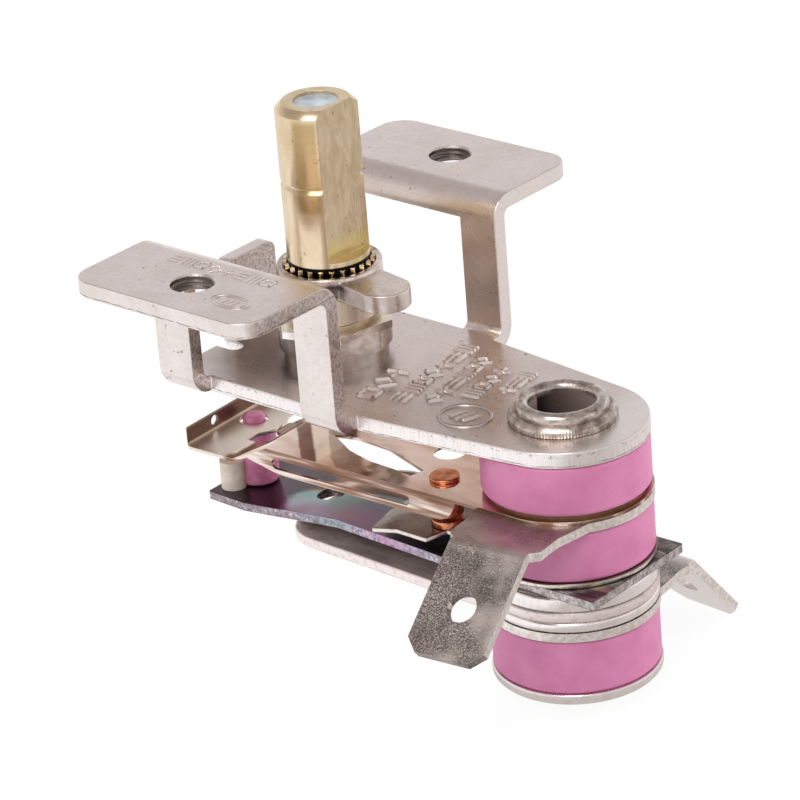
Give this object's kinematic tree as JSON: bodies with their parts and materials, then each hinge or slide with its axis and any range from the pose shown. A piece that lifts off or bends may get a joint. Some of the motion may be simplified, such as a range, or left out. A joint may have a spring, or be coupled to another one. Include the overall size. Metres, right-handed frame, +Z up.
{
  "type": "oven thermostat",
  "caption": "Spindle-operated oven thermostat: a bimetal strip and a sprung contact blade clamped with ceramic rings under a mounting bracket.",
  "frame": {"origin": "midway between the two ear holes, on the ears' top face and on the spindle's axis", "axes": "+Z up along the spindle, +X from the spindle to the rivet of the stack, +Y across to the second ear"},
  "size_m": [0.0372, 0.036, 0.0406],
  "materials": {
    "bracket_nickel": "satin nickel plate with bright sheared edges",
    "bushing_nickel": "turned and nickel plated",
    "spindle_brass": "turned brass, satin",
    "collar_nickel": "nickel plated",
    "screw_brass": "turned brass",
    "seal_compound": "grey sealing compound",
    "pin_ceramic": "unglazed white ceramic",
    "rivet_steel": "rolled bright tube",
    "washer_steel": "bright plated washers",
    "sleeve_ceramic": "unglazed ceramic",
    "ring_steatite": "unglazed pink ceramic",
    "mica": "mica sheet",
    "blade_steel": "heat-tinted spring sheet",
    "contact_alloy": "contact alloy",
    "terminal_tin": "dull grainy plate",
    "arm_steel": "satin plate",
    "bimetal_oxide": "oxide tints, teal to pink",
    "bead_ceramic": "glossy pink ceramic",
    "cement": "cream cement",
    "strip_steel": "grey steel"
  },
  "bodies": {
    "frame_and_stack": {"mounting_bracket": "bracket_nickel", "bushing": "bushing_nickel", "hollow_rivet": "rivet_steel", "rivet_washer": "washer_steel", "insulating_sleeve": "sleeve_ceramic", "ring_upper": "ring_steatite", "ring_middle": "ring_steatite", "ring_lower": "ring_steatite", "mica_disc": "mica", "contact_blade": "blade_steel", "moving_contact": "contact_alloy", "front_terminal": "terminal_tin", "fixed_arm": "arm_steel", "fixed_contact": "contact_alloy", "bimetal": "bimetal_oxide", "bead": "bead_ceramic", "bead_cement": "cement", "clamp_washer_upper": "washer_steel", "support_strip": "strip_steel", "clamp_washer_lower": "washer_steel", "rear_terminal": "terminal_tin", "bottom_washer": "washer_steel"},
    "push_pin": {"push_pin": "pin_ceramic"},
    "spindle": {"spindle": "spindle_brass", "stop_collar": "collar_nickel", "calibration_screw": "screw_brass", "socket_seal": "seal_compound"}
  },
  "joints": [
    {"name": "spindle_lift", "type": "slide", "parent": "frame_and_stack", "child": "push_pin", "axis": [0, 0, 1], "range_m": [-0.000333, 0.000377]},
    {"name": "spindle_turn", "type": "hinge", "parent": "push_pin", "child": "spindle", "pos_m": [0, 0, 0], "axis": [0, 0, 1], "range_deg": [-150, 170]}
  ],
  "couplings": [
    {"joint": "spindle_turn", "follows": "spindle_lift", "rad_per_m": 7854}
  ]
}
